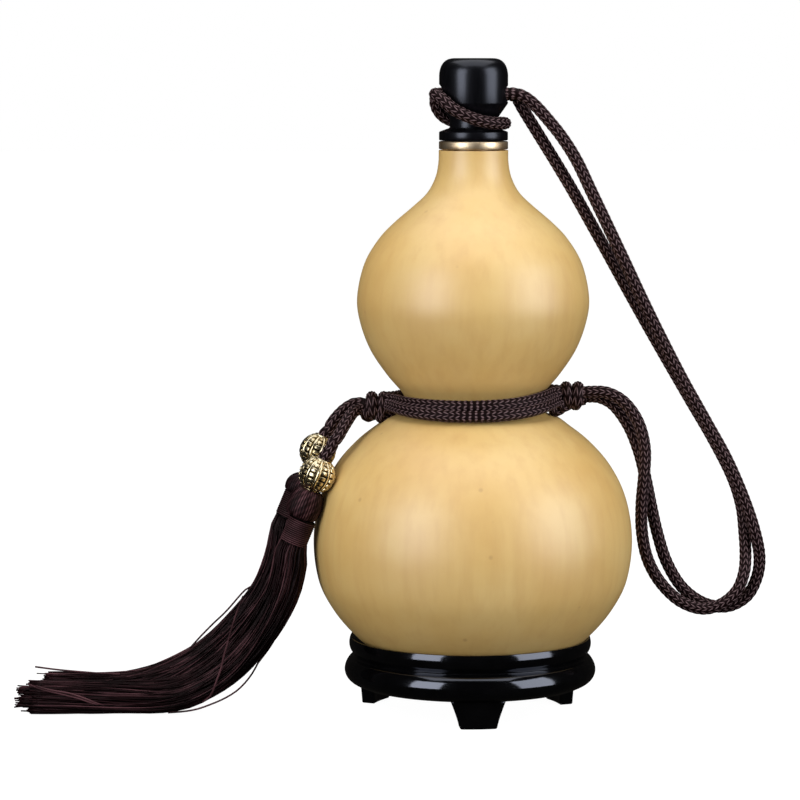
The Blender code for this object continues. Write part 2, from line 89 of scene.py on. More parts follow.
def turn_on_lathe(name, outline, steps):
    """Spins a (radius, height) outline about the upright axis, from one vertex extruded along it."""
    bpy.ops.object.select_all(action="DESELECT")
    bpy.ops.mesh.primitive_plane_add(size=MM)
    piece = bpy.context.object
    piece.name = name
    piece.data.name = name
    bpy.ops.object.mode_set(mode="EDIT")
    bpy.ops.mesh.select_all(action="SELECT")
    bpy.ops.mesh.merge(type="CENTER")
    bpy.ops.mesh.select_all(action="SELECT")
    bpy.ops.transform.translate(value=(outline[0][0] * MM, 0, outline[0][1] * MM))
    for (radius, height), (next_radius, next_height) in zip(outline, outline[1:]):
        move = ((next_radius - radius) * MM, 0, (next_height - height) * MM)
        bpy.ops.mesh.extrude_vertices_move(TRANSFORM_OT_translate={"value": move})
    bpy.ops.mesh.select_all(action="SELECT")
    bpy.ops.mesh.spin(steps=steps, angle=2 * math.pi, center=(0, 0, 0), axis=(0, 0, 1))
    bpy.ops.mesh.select_all(action="SELECT")
    bpy.ops.mesh.remove_doubles(threshold=0.00001)
    bpy.ops.mesh.normals_make_consistent(inside=False)
    bpy.ops.object.mode_set(mode="OBJECT")
    bpy.ops.object.shade_smooth_by_angle(angle=CREASE)
    return piece


def settle(piece, material, slot, *nodes):
    """Gives a finished piece its material and puts it in the place of its CAD nodes."""
    piece.data.materials.clear()
    piece.data.materials.append(material)
    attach(piece, "root")
    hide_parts(*nodes)
    piece.select_set(False)


def add_node(tree, kind, inputs=None, **settings):
    """Adds a shader node; an input is given a value, or another node's output."""
    made = tree.nodes.new(kind)
    for key, value in settings.items():
        setattr(made, key, value)
    for key, value in (inputs or {}).items():
        if isinstance(value, bpy.types.NodeSocket):
            tree.links.new(value, made.inputs[key])
        else:
            made.inputs[key].default_value = value
    return made


def ramp(tree, value, *stops):
    """A colour ramp over a value, from (position, colour) stops."""
    made = add_node(tree, "ShaderNodeValToRGB", {"Fac": value})
    band = made.color_ramp
    while len(band.elements) < len(stops):
        band.elements.new(0.5)
    for element, (position, colour) in zip(band.elements, stops):
        element.position = position
        element.color = (*colour, 1.0)
    return made.outputs["Color"]


def spread(tree, value, low, high, out_low, out_high):
    """Turns a value's range from low to high into another range."""
    return add_node(
        tree, "ShaderNodeMapRange",
        {"Value": value, "From Min": low, "From Max": high, "To Min": out_low, "To Max": out_high},
    ).outputs["Result"]


def blend(tree, share, first, second, kind="RGBA"):
    """Two colours, or two values, mixed by the second one's share."""
    return add_node(
        tree, "ShaderNodeMix", {"Factor": share, "A": first, "B": second}, data_type=kind
    ).outputs["Result"]


def new_finish(name, roughness, metallic=0.0, **sockets):
    """A material with its Principled shader; the other sockets are given with _ for a space."""
    material = bpy.data.materials.new(name)
    material.use_nodes = True
    shader = material.node_tree.nodes["Principled BSDF"]
    shader.inputs["Roughness"].default_value = roughness
    shader.inputs["Metallic"].default_value = metallic
    for key, value in sockets.items():
        shader.inputs[key.replace("_", " ")].default_value = value
    return material, material.node_tree, shader


def make_grain():
    """Fine grain from noise: a value, and the normal of a relief that deep, for any surface."""
    group = bpy.data.node_groups.new("fine_grain", "ShaderNodeTree")
    for name, kind in (("Vector", "Vector"), ("Scale", "Float"), ("Depth", "Float")):
        group.interface.new_socket(name, in_out="INPUT", socket_type="NodeSocket" + kind)
    group.interface.new_socket("Value", in_out="OUTPUT", socket_type="NodeSocketFloat")
    group.interface.new_socket("Normal", in_out="OUTPUT", socket_type="NodeSocketVector")
    given = group.nodes.new("NodeGroupInput").outputs
    noise = add_node(
        group, "ShaderNodeTexNoise",
        {"Vector": given["Vector"], "Scale": given["Scale"], "Detail": 3.0, "Roughness": 0.6},
    )
    bump = add_node(
        group, "ShaderNodeBump",
        {"Height": noise.outputs["Fac"], "Distance": given["Depth"], "Strength": 1.0},
    )
    result = group.nodes.new("NodeGroupOutput")
    group.links.new(noise.outputs["Fac"], result.inputs["Value"])
    group.links.new(bump.outputs["Normal"], result.inputs["Normal"])
    return group


grain = make_grain()


def add_grain(tree, vector, scale, depth):
    """Places the fine grain in a material."""
    return add_node(
        tree, "ShaderNodeGroup", {"Vector": vector, "Scale": scale, "Depth": depth * MM}, node_tree=grain
    ).outputs


def dress(tree, shader, colour, normal):
    """Gives a material's shader its colour and the normal of its relief."""
    tree.links.new(colour, shader.inputs["Base Color"])
    tree.links.new(normal, shader.inputs["Normal"])


skin_line = smooth_route(GOURD_SKIN, 1.5)
slope = np.gradient(skin_line, axis=0)
slope /= np.linalg.norm(slope, axis=1)[:, None]
hollow_line = (skin_line - RIND * np.stack([slope[:, 1], -slope[:, 0]], axis=1))[::4]
hollow_line = hollow_line[hollow_line[:, 0] > 1.0]
gourd_outline = [
    *skin_line, (hollow_line[-1][0], LIP), *hollow_line[::-1], (0.0, skin_line[0][1] + RIND),
]
gourd = turn_on_lathe("gourd_rind", gourd_outline, 144)
for vertex in gourd.data.vertices:  # it grew a little out of round, by up to a third of a percent
    turn = math.atan2(vertex.co.y, vertex.co.x)
    height = vertex.co.z / MM
    full = math.hypot(vertex.co.x, vertex.co.y) / MM / 50
    swell = 0.22 * math.sin(2 * turn + height / 30) + 0.12 * math.sin(5 * turn - height / 17)
    vertex.co.x *= 1 + full * swell / 100
    vertex.co.y *= 1 + full * swell / 100

rind_skin, tree, shader = new_finish(
    "gourd_skin", 0.5, Specular_IOR_Level=1.0, Coat_Weight=1.0, Coat_Roughness=0.46
)
place = tree.nodes.new("ShaderNodeTexCoord").outputs["Object"]
clouds = add_node(
    tree, "ShaderNodeTexNoise", {"Vector": place, "Scale": 34.0, "Detail": 5.0, "Roughness": 0.55}
).outputs["Fac"]
tone = ramp(
    tree, clouds,
    (0.30, (0.745, 0.458, 0.135)), (0.50, (0.790, 0.520, 0.172)), (0.72, (0.820, 0.572, 0.214)),
)
upright = add_node(tree, "ShaderNodeMapping", {"Vector": place, "Scale": (1.0, 1.0, 0.06)})
streaks = add_node(
    tree, "ShaderNodeTexNoise", {"Vector": upright.outputs["Vector"], "Scale": 260.0, "Detail": 4.0}
).outputs["Fac"]
streaked = blend(tree, spread(tree, streaks, 0.45, 0.8, 0.0, 0.45), tone, (0.66, 0.37, 0.11, 1.0))
dots = add_node(
    tree, "ShaderNodeTexVoronoi", {"Vector": place, "Scale": 75.0, "Randomness": 1.0}
).outputs["Distance"]
speckled = blend(tree, spread(tree, dots, 0.03, 0.075, 0.45, 0.0), streaked, (0.48, 0.23, 0.07, 1.0))
pores = add_grain(tree, place, 900.0, 0.02)
dress(tree, shader, speckled, pores["Normal"])
rubbed = spread(tree, clouds, 0.0, 1.0, 0.44, 0.56)
tree.links.new(rubbed, shader.inputs["Roughness"])
settle(gourd, rind_skin, "gourd_rind", "gourd")

# The mouth ring: a turned brass collar glued on the cut lip, polished, with a thin sleeve that
# goes down inside the neck for the stopper's cork to seal in.
RING_BASE = LIP + 0.3
RING_OUTLINE = [
    (6.3, 2.7), (11.0, 2.7), (11.3, 2.62), (11.45, 2.35), (11.45, 0.35), (11.3, 0.08), (11.0, 0.0),
    (7.1, 0.0), (7.1, -11.0), (6.3, -11.0), (6.3, 2.7),
]
collar_outline = [(radius, RING_BASE + height) for radius, height in RING_OUTLINE]
mouth_ring = turn_on_lathe("mouth_collar", collar_outline, 128)

polished_brass, tree, shader = new_finish("polished_brass", 0.42, 1.0)
place = tree.nodes.new("ShaderNodeTexCoord").outputs["Object"]
tarnish = add_node(tree, "ShaderNodeTexNoise", {"Vector": place, "Scale": 240.0, "Detail": 4.0})
tone = ramp(tree, tarnish.outputs["Fac"], (0.35, (0.64, 0.44, 0.25)), (0.65, (0.96, 0.77, 0.53)))
lathe_lines = add_node(tree, "ShaderNodeMapping", {"Vector": place, "Scale": (0.08, 0.08, 1.0)})
turned_marks = add_grain(tree, lathe_lines.outputs["Vector"], 5000.0, 0.006)
dress(tree, shader, tone, turned_marks["Normal"])
settle(mouth_ring, polished_brass, "mouth_brass", "mouth_ring")

# The stopper: turned black wood with a knob, a narrow waist and a flange that sits on the brass.
# A cross hole through the knob takes the cord. Its mouths are dished, the left one more, so the
# cord bends softly there.
SEAT = LIP + 3.3
HOLE_HEIGHT = 206.2
HOLE_SIZE = (30, 9.4, 4.9)  # wide enough for two strands side by side
HOLE_ROUNDING = 2.2
HOLE_MOUTHS = [  # centre and radii of each dished mouth
    ((-12.6, 0.0, 205.0), (4.2, 7.8, 4.6)), ((12.2, 0.0, 206.2), (1.8, 5.8, 3.2)),
]
KNOB_OUTLINE = [
    (0.0, 27.0), (6.4, 27.0), (7.4, 26.93), (8.4, 26.68), (9.3, 26.2), (10.1, 25.45), (10.7, 24.5),
    (11.1, 23.4), (11.32, 22.3), (11.4, 21.3), (11.4, 12.35), (11.3, 12.0), (8.25, 7.65), (8.0, 7.3),
    (7.9, 6.9), (7.9, 4.3), (8.1, 4.0), (11.1, 2.9), (11.3, 2.78), (11.4, 2.55), (11.4, 0.25),
    (11.25, 0.0), (3.2, 0.0), (3.2, -13.0), (0.0, -13.0),
]
knob_outline = [(radius, SEAT + height) for radius, height in KNOB_OUTLINE]
stopper = turn_on_lathe("stopper_knob", knob_outline, 128)
bpy.ops.object.select_all(action="DESELECT")
bpy.ops.mesh.primitive_cube_add(
    size=1, location=(0, 0, HOLE_HEIGHT * MM), scale=[side * MM for side in HOLE_SIZE]
)
cutters = [bpy.context.object]
bpy.ops.object.transform_apply(location=False, rotation=False, scale=True)
slot_edges = cutters[0].modifiers.new("round", "BEVEL")
slot_edges.width = HOLE_ROUNDING * MM
slot_edges.segments = 6
for centre, radii in HOLE_MOUTHS:
    bpy.ops.mesh.primitive_uv_sphere_add(
        segments=48, ring_count=32, radius=1, location=Vector(centre) * MM, scale=Vector(radii) * MM
    )
    cutters.append(bpy.context.object)
bpy.ops.object.select_all(action="DESELECT")
bpy.context.view_layer.objects.active = stopper
for cutter in cutters:
    cut = stopper.modifiers.new("hole", "BOOLEAN")
    cut.operation = "DIFFERENCE"
    cut.object = cutter
    bpy.ops.object.modifier_apply(modifier=cut.name)
for cutter in cutters:
    bpy.data.objects.remove(cutter, do_unlink=True)
stopper.select_set(True)
bpy.ops.object.shade_smooth_by_angle(angle=CREASE)

COOL_SHEEN = (0.80, 0.84, 1.0, 1.0)
satin_black, tree, shader = new_finish(
    "satin_black_wood", 0.28, Specular_IOR_Level=0.5, Specular_Tint=COOL_SHEEN
)
place = tree.nodes.new("ShaderNodeTexCoord").outputs["Object"]
upright = add_node(tree, "ShaderNodeMapping", {"Vector": place, "Scale": (1.0, 1.0, 0.12)})
wood = add_grain(tree, upright.outputs["Vector"], 700.0, 0.012)
tone = ramp(tree, wood["Value"], (0.35, (0.0012, 0.0012, 0.0018)), (0.70, (0.0035, 0.0033, 0.0045)))
dress(tree, shader, tone, wood["Normal"])
settle(stopper, satin_black, "stopper_black", "stopper")

# The cork bush: a ring of natural cork pushed on the stopper's spigot, out of sight in the neck.
# Its plain turned shape is right as it is, so it only gets its colour and pores.
cork, tree, shader = new_finish("natural_cork", 0.85)
place = tree.nodes.new("ShaderNodeTexCoord").outputs["Object"]
crumbs = add_grain(tree, place, 1100.0, 0.15)
tone = ramp(
    tree, crumbs["Value"],
    (0.35, (0.16, 0.08, 0.035)), (0.5, (0.42, 0.26, 0.13)), (0.7, (0.52, 0.35, 0.19)),
)
dress(tree, shader, tone, crumbs["Normal"])
cork_bush = bpy.data.objects["stopper_cork"]
cork_bush.data.materials.clear()
cork_bush.data.materials.append(cork)

# The stand: a turned ring of wood under many coats of black lacquer, with a narrow rim, a groove
# and a fuller belly. Its shallow dish follows the gourd's underside.
STAND_CENTRE = (-0.8, 0.0, 0.0)  # it stands a little left of the gourd's axis
STAND_OUTLINE = [
    (39.8, 25.2), (40.1, 25.2), (40.4, 24.3), (40.55, 22.8), (40.2, 21.2), (39.4, 19.9), (38.9, 19.1),
    (39.2, 18.5), (40.4, 18.0), (41.6, 16.2), (42.1, 14.1), (41.6, 12.1), (40.3, 10.6), (38.4, 9.6),
]
STAND_BASE = 9.5
STAND_BASE_RADIUS = 37.8
DISH_GAP = 0.35
DISH_SLACK = 0.8
DISH_TOP = 24.9
dish_line = skin_line + DISH_GAP * np.stack([slope[:, 1], -slope[:, 0]], axis=1) + (DISH_SLACK, 0.0)
dish_line = dish_line[(dish_line[:, 1] < DISH_TOP) & (dish_line[:, 0] > DISH_SLACK)][::2]
stand_outline = [
    *smooth_route(STAND_OUTLINE, 0.4), (STAND_BASE_RADIUS, STAND_BASE), (0.0, STAND_BASE),
    (0.0, dish_line[0][1]), *dish_line, STAND_OUTLINE[0],
]
stand_ring = turn_on_lathe("stand_turned_ring", stand_outline, 160)
stand_ring.data.transform(Matrix.Translation(Vector(STAND_CENTRE) * MM))

lacquer, tree, shader = new_finish(
    "black_lacquer", 0.11, Specular_IOR_Level=0.85, Specular_Tint=COOL_SHEEN
)
place = tree.nodes.new("ShaderNodeTexCoord").outputs["Object"]
ripple = add_grain(tree, place, 130.0, 0.05)
tone = ramp(tree, ripple["Value"], (0.35, (0.0008, 0.0008, 0.001)), (0.70, (0.002, 0.002, 0.0024)))
dress(tree, shader, tone, ripple["Normal"])
settle(stand_ring, lacquer, "stand_lacquer", "stand_ring")

# The three feet: tapered boards glued under the ring, wide at the top, lacquered with it.
# Each one's outer face follows the ring's curve.
FOOT_TURNS = {"stand_foot_front": 5.1, "stand_foot_left": -115.0, "stand_foot_right": 111.0}
FEET_CENTRE = (-1.8, 1.0, 0.0)
FOOT_TOP_WIDTH = 18.3
FOOT_BOTTOM_WIDTH = 12.1
FOOT_REACH = 36.8
FOOT_HEIGHT = 9.4
FOOT_THICKNESS = 4.8
FOOT_FLARE = 1.25  # the sides curve out towards the top
FOOT_EDGE = 0.6
for node, turn in FOOT_TURNS.items():
    bpy.ops.object.select_all(action="DESELECT")
    bpy.ops.mesh.primitive_cube_add(size=1)
    foot = bpy.context.object
    foot.name = node + "_block"
    foot.data.name = foot.name
    bpy.ops.object.mode_set(mode="EDIT")
    bpy.ops.mesh.select_all(action="SELECT")
    bpy.ops.mesh.subdivide(number_cuts=7)
    bpy.ops.object.mode_set(mode="OBJECT")
    for corner in foot.data.vertices:
        up = corner.co.z + 0.5
        width = FOOT_BOTTOM_WIDTH + (FOOT_TOP_WIDTH - FOOT_BOTTOM_WIDTH) * up ** FOOT_FLARE
        across = corner.co.x * width
        crown = across ** 2 / (2 * FOOT_REACH)
        inward = FOOT_THICKNESS * (corner.co.y + 0.5)
        corner.co = Vector((across, inward + crown - FOOT_REACH, FOOT_HEIGHT * up)) * MM
    edges = foot.modifiers.new("edges", "BEVEL")
    edges.width = FOOT_EDGE * MM
    edges.segments = 3
    edges.angle_limit = math.radians(40)
    bpy.ops.object.modifier_apply(modifier=edges.name)
    foot.rotation_euler.z = math.radians(turn)
    foot.location = Vector(FEET_CENTRE) * MM
    bpy.ops.object.transform_apply(location=True, rotation=True, scale=False)
    bpy.ops.object.shade_smooth_by_angle(angle=CREASE)
    settle(foot, lacquer, "stand_lacquer", node)

# The cord: a round knitted cord of dark purple-brown yarn, 4.1 mm thick. Its stitches stand in six
# columns of plump V's. One length makes the strap, the hitch, the waist turns and the two free ends.
CORD_RADIUS = 2.05
STITCH = 2.1
COLUMNS = 6
RIDGE = (0.0, 0.45, 1.0, 0.80, 0.25)  # height along one stitch
LEGS = (0.20, 0.85, 1.0, 0.50, 1.0, 0.85)  # height across one column, deepest between columns
LEAN = (1.0, 0.667, 0.333, 0.0, 0.333, 0.667)  # how far each leg of the V runs ahead
STITCH_SLOPE = 1.05
RELIEF = 0.18
PLUMP = 0.05  # how far the yarn stands out past the cord's measured radius
TURNING = 3  # the V's of a pressed cord turn round within about a tenth of its length


def carried_frames(line, closed):
    """Two directions across a line at each of its points, carried along it without twist."""
    if closed:
        along = np.roll(line, -1, axis=0) - np.roll(line, 1, axis=0)
    else:
        along = np.gradient(line, axis=0)
    along /= np.linalg.norm(along, axis=1)[:, None]
    across = np.cross(along[0], (0.0, 0.0, 1.0) if abs(along[0][2]) < 0.9 else (0.0, 1.0, 0.0))
    first = []
    for direction in along:
        across = across - direction * across.dot(direction)
        across /= np.linalg.norm(across)
        first.append(across)
    first = np.array(first)
    return first, np.cross(along, first)


def knit_shape(line, closed=False, radius=CORD_RADIUS, roll=0.0, pressed=None):
    """Vertices, faces, stitch heights and ring centres of a knitted tube along a line, in millimetres.
    A cord pressed flat against its neighbour has rounded-square sides, turned by the given angle."""
    line = np.asarray(line, float)
    first, second = carried_frames(line, closed)
    if closed:
        line, first, second = (np.vstack([part, part[:1]]) for part in (line, first, second))
    run = np.concatenate([[0.0], np.cumsum(np.linalg.norm(np.diff(line, axis=0), axis=1))])
    stitches = max(2, round(run[-1] / STITCH))
    rings = stitches * len(RIDGE)
    pitch = run[-1] / stitches
    around = COLUMNS * len(LEGS)
    level = np.arange(rings if closed else rings + 1)
    ahead = np.tile(LEAN, COLUMNS)[None, :] * STITCH_SLOPE * pitch
    base = level[:, None] * run[-1] / rings
    if pressed is not None:  # its V's turn round at the middle of the back and of the front
        ahead = ahead * np.clip(-TURNING * np.cos(2 * math.pi * base / run[-1]), -1.0, 1.0)
    if closed:
        place = (base + ahead) % run[-1]
    else:
        calm = np.clip(np.minimum(base, run[-1] - base) / (2 * pitch), 0.0, 1.0)
        place = np.clip(base + ahead * calm, 0.0, run[-1])
    height = np.array(RIDGE)[level % len(RIDGE)][:, None] * np.tile(LEGS, COLUMNS)[None, :]
    reach = radius - RELIEF + (RELIEF + PLUMP) * height
    angle = roll + np.arange(around) * 2 * math.pi / around
    if pressed is not None:
        reach = reach / (np.cos(angle - pressed) ** 4 + np.sin(angle - pressed) ** 4) ** 0.25

    def at(columns):
        return np.stack([np.interp(place, run, part) for part in columns.T], axis=-1)

    side = np.cos(angle)[None, :, None] * at(first) + np.sin(angle)[None, :, None] * at(second)
    points = (at(line) + reach[..., None] * side).reshape(-1, 3)
    count = len(level)
    faces = []
    for i in range(count if closed else count - 1):
        lower = i * around
        upper = ((i + 1) % count) * around
        for j in range(around):
            k = (j + 1) % around
            faces.append((lower + j, lower + k, upper + k, upper + j))
    if not closed:
        faces.append(tuple(range(around - 1, -1, -1)))
        faces.append(tuple(range((count - 1) * around, count * around)))
    centres = np.stack([np.interp(base[:, 0], run, part) for part in line.T], axis=-1)
    return points, faces, height.reshape(-1), centres


def keep_values(piece, name, values):
    """Stores a value for each of a piece's points, for its material to read."""
    piece.data.attributes.new(name, "FLOAT", "POINT").data.foreach_set("value", values)


def mesh_piece(name, points, faces):
    """A smooth object from points in millimetres and faces, with its faces turned outwards."""
    mesh = bpy.data.meshes.new(name)
    mesh.from_pydata((points * MM).tolist(), [], faces)
    made = bpy.data.objects.new(name, mesh)
    bpy.context.scene.collection.objects.link(made)
    bpy.ops.object.select_all(action="DESELECT")
    made.select_set(True)
    bpy.context.view_layer.objects.active = made
    bpy.ops.object.mode_set(mode="EDIT")
    bpy.ops.mesh.select_all(action="SELECT")
    bpy.ops.mesh.normals_make_consistent(inside=False)
    bpy.ops.object.mode_set(mode="OBJECT")
    bpy.ops.object.shade_smooth()
    return made


def knit_piece(name, *shapes):
    """One object from knitted tubes, with the stitch heights kept for its material to paint shade and
    sheen from.
    """
    points, faces, heights = [], [], []
    for shape in shapes:
        offset = sum(map(len, points))
        points.append(shape[0])
        faces += [tuple(corner + offset for corner in face) for face in shape[1]]
        heights.append(shape[2])
    made = mesh_piece(name, np.vstack(points), faces)
    keep_values(made, "stitch_shading", np.concatenate(heights))
    return made


braid, tree, shader = new_finish(
    "knitted_cord", 0.5, Specular_IOR_Level=0.10, Specular_Tint=(1.0, 0.72, 0.76, 1.0)
)
place = tree.nodes.new("ShaderNodeTexCoord").outputs["Object"]
stitch_shading = add_node(tree, "ShaderNodeAttribute", attribute_name="stitch_shading").outputs["Fac"]
yarn = add_grain(tree, place, 2600.0, 0.05)
# The stitch height is painted as light and shade: near black in the valleys between stitches is painted
# shade, light mauve on the ridges is a painted sheen. The grain adds the yarn's own dark flecks.
tone = ramp(
    tree, stitch_shading,
    (0.20, (0.0016, 0.0003, 0.0003)), (0.50, (0.018, 0.0075, 0.0080)), (0.76, (0.32, 0.215, 0.232)),
)
flecks_and_painted_sheen = blend(tree, yarn["Value"], tone, (0.006, 0.002, 0.0022, 1.0))
dress(tree, shader, flecks_and_painted_sheen, yarn["Normal"])

# The strap: the cord's middle makes a long loop that hangs free between the stopper and the right
# knot. Its two strands change over once, low on the loop's right side.
STRAP_OUTER = [
    (12.9, -2.35, 206.3), (14.8, -2.3, 206.0), (17.2, -2.3, 204.9), (20.5, -2.4, 202.2),
    (24.9, -2.4, 197.3), (29.5, -2.4, 191.5), (34.2, -2.4, 184.0), (38.9, -2.4, 174.2),
    (44.2, -2.4, 163.2), (50.2, -2.4, 150.7), (56.4, -2.4, 137.6), (62.8, -2.4, 124.7),
    (69.8, -2.4, 111.3), (77.3, -2.4, 98.0), (84.7, -2.4, 84.7), (90.6, -2.3, 71.2),
    (94.3, -1.9, 60.3), (96.1, 0.0, 51.5), (95.3, 1.5, 44.2), (91.9, 2.3, 37.8), (85.3, 2.4, 34.5),
    (77.5, 2.4, 35.8), (70.4, 2.4, 41.1), (65.2, 2.4, 49.6), (62.0, 2.4, 59.4), (59.8, 2.4, 68.9),
    (57.9, 2.4, 78.0), (55.6, 2.4, 87.0), (52.2, 2.4, 95.4), (47.4, 2.4, 102.2), (42.8, 2.4, 105.0),
    (38.8, 2.4, 105.4),
]
STRAP_INNER = [
    (13.1, 2.35, 205.6), (14.3, 2.3, 205.0), (15.8, 2.35, 202.2), (18.8, 2.4, 197.3),
    (23.1, 2.4, 190.4), (28.0, 2.4, 182.5), (33.1, 2.4, 174.0), (38.6, 2.4, 164.3), (44.5, 2.4, 153.8),
    (50.8, 2.4, 142.4), (57.6, 2.4, 130.3), (64.9, 2.4, 117.6), (72.6, 2.4, 104.4), (80.2, 2.4, 91.5),
    (86.7, 2.3, 78.9), (90.0, 2.3, 68.9), (91.1, 1.9, 59.9), (91.4, 0.0, 52.0), (90.7, -1.5, 46.1),
    (88.3, -2.3, 40.5), (83.4, -2.4, 36.2), (76.8, -2.4, 34.5), (69.4, -2.4, 37.1), (62.9, -2.4, 43.3),
    (58.5, -2.4, 51.2), (56.5, -2.4, 60.4), (56.3, -2.4, 69.9), (57.1, -2.4, 79.9), (57.2, -2.4, 89.0),
    (54.9, -2.4, 97.5), (50.3, -2.4, 104.0), (44.6, -2.4, 107.2), (38.8, -2.4, 107.5),
]


def knit_free_cord(name, route, node, roll=0.0):
    """A free stretch of the cord in the place of its plain tube, with its middle line and its length."""
    shape = knit_shape(smooth_route(route, 0.7), roll=roll)
    made = knit_piece(name, shape)
    settle(made, braid, "braided_cord", node)
    middle = shape[3] * MM
    return made, middle, float(np.linalg.norm(np.diff(middle, axis=0), axis=1).sum())


for name, route, roll in (("strap_outer", STRAP_OUTER, 0.2), ("strap_inner", STRAP_INNER, 0.5)):
    # each end is pushed a little way into the hole and into the knot
    in_hole = (route[0][0] - 1.2, *route[0][1:])
    in_knot = (route[-1][0] - 2.4, route[-1][1] * 0.8, route[-1][2] - 0.3)
    strand, middle, strand_length = knit_free_cord(
        name + "_braid", [in_hole, *route, in_knot], name, roll
    )

# The hitch: the cord's doubled middle goes through the stopper's cross hole from right to left and
# is slipped back over the knob, so that it grips the stopper's narrow waist.
HITCH_ROUTE = [
    (12.0, -2.35, 206.3), (6.0, -2.35, 206.2), (-6.0, -2.35, 206.2), (-10.2, -2.6, 206.2),
    (-12.7, -4.2, 206.2), (-12.3, -7.4, 205.8), (-10.0, -9.9, 204.2), (-7.3, -11.5, 201.7),
    (-3.2, -11.8, 199.4), (1.0, -11.1, 197.8), (5.0, -9.4, 196.9), (8.5, -6.2, 196.6),
    (10.4, -1.5, 196.5), (9.7, 4.0, 196.5), (6.2, 8.6, 196.5), (0.0, 10.6, 196.6),
    (-5.9, 9.3, 196.9), (-9.6, 7.7, 198.4), (-11.8, 5.8, 200.9), (-12.6, 4.3, 203.8),
    (-11.7, 3.1, 205.8), (-9.0, 2.45, 206.2), (-6.0, 2.35, 206.2), (6.0, 2.35, 206.1),
    (12.0, 2.35, 205.8),
]
hitch = knit_piece("stopper_hitch_braid", knit_shape(smooth_route(HITCH_ROUTE, 0.6), roll=0.3))
settle(hitch, braid, "braided_cord", "stopper_hitch")

# The waist turns: both cords lie side by side round the gourd's waist, pulled tight.
# At each side they are drawn out a little and up into the knot.
KNOTS = {"knot_right": (33.0, 0.0, 105.6), "knot_left": (-31.7, 0.0, 102.3)}
WAIST_CORD_RADIUS = 1.86
WAIST_TURNS = {  # radius, height, and how far it is lifted at the right and at the left
    "waist_cord_upper": (25.6, 104.9, 2.4, 0.1), "waist_cord_lower": (27.2, 101.6, 2.9, 1.5),
}
WAIST_FLAT = -0.45  # the two turns' outer faces lie in one slanting plane
PULLED_RADIUS = 29.6  # where a turn goes into the knot
PULL_WIDTH = 0.15
LIFT_WIDTH = 0.9


def nearness(turn, side, width):
    """One at a side of the waist, falling smoothly to nothing away from it."""
    return math.exp(-((math.remainder(turn - side, 2 * math.pi) / width) ** 2))


for node, (radius, height, lift_right, lift_left) in WAIST_TURNS.items():
    ring = []
    for turn in np.linspace(0, 2 * math.pi, 240, endpoint=False):
        pull = nearness(turn, 0, PULL_WIDTH) + nearness(turn, math.pi, PULL_WIDTH)
        reach = radius + (PULLED_RADIUS - radius) * pull
        rise = lift_right * nearness(turn, 0, LIFT_WIDTH) + lift_left * nearness(turn, math.pi, LIFT_WIDTH)
        ring.append((reach * math.cos(turn), reach * math.sin(turn), height + rise))
    waist_turn = knit_piece(
        node + "_braid",
        knit_shape(ring, closed=True, radius=WAIST_CORD_RADIUS, roll=WAIST_FLAT, pressed=WAIST_FLAT),
    )
    settle(waist_turn, braid, "braided_cord", node)

# The knots: a flat double knot at each side of the waist, where the two strands are locked together.
# What shows of it is two turns drawn tight round the strands that run through, the inner one tighter,
# and two short laps of the strands below them, down to the gourd's shoulder.
KNOT_TURNS = {"outer": (3.1, CORD_RADIUS, 0.3), "inner": (3.0, 1.95, 0.5)}  # radius, cord radius, rise
KNOT_TURN_OFFSET = 1.6
KNOT_TURN_LEAN = math.radians(8)
KNOT_LAPS = {  # how far along and up each lap's middle is from the knot's centre
    "knot_right": [(-2.2, -1.6), (-4.6, -3.0)], "knot_left": [(-2.3, -1.5), (2.6, -2.2)],
}
LAP_REACH = 1.9
LAP_HEIGHT = 2.2
LAP_DEPTH = 1.6
LAP_FORWARD = 1.2
LAP_RADIUS = 1.7
KNOT_CORE = (-4.6, -1.5, 1.5, 4.6)
KNOT_CORE_RADIUS = 2.9
for node, centre in KNOTS.items():
    turns = []
    for side in (-1, 1):
        radius, thick, rise = KNOT_TURNS["outer" if side * centre[0] > 0 else "inner"]
        ring = []
        for turn in np.linspace(0, 2 * math.pi, 60, endpoint=False):
            out = radius * (1 + 0.06 * math.cos(2 * turn))
            up = out * math.sin(turn)
            ring.append(
                (
                    centre[0] + side * (KNOT_TURN_OFFSET + up * math.sin(KNOT_TURN_LEAN)),
                    centre[1] + out * math.cos(turn),
                    centre[2] + rise + up,
                )
            )
        turns.append(knit_shape(ring, closed=True, radius=thick, roll=0.4 * side))
    for shift, drop in KNOT_LAPS[node]:
        lap = []
        for turn in np.linspace(0, 2 * math.pi, 48, endpoint=False):
            along = LAP_REACH * math.cos(turn)
            height = centre[2] + drop + 0.75 * LAP_HEIGHT * math.sin(turn) + 0.4 * along
            lap.append((centre[0] + shift + along, LAP_DEPTH * math.cos(turn) - LAP_FORWARD, height))
        turns.append(knit_shape(lap, closed=True, radius=LAP_RADIUS))
    core = [(centre[0] + step, 0.0, centre[2]) for step in KNOT_CORE]
    turns.append(knit_shape(smooth_route(core, 0.7), radius=KNOT_CORE_RADIUS))
    knot = knit_piece(node + "_braid", *turns)
    settle(knot, braid, "braided_cord", node)

# The beads: two cast brass beads, antiqued so that the recesses stay dark. Upright ribs run from
# pole to pole with a column of small raised bars between each pair, and a collar rims the bore.
BEADS = {"front": (-51.6, -14.5, 81.2), "back": (-51.7, -4.0, 87.8)}
HANG = Vector((-0.38, 0.0, -0.925)).normalized()
BEAD_RADIUS = 6.1
BEAD_BODY = BEAD_RADIUS - 0.55  # the ground between the ribs
BEAD_RIBS = 10
RIB_HEIGHT = 0.5
RIB_HALF_WIDTH = 0.62
BAR_ROWS = (-52, -35, -18, 0, 18, 35, 52)  # degrees above the bead's equator
BAR_SIZE = (1.1, 2.0, 1.3)
BAR_ROUNDING = 0.22
COLLAR_RADIUS = 2.55
COLLAR_THICKNESS = 1.0
COLLAR_PLACE = 5.15


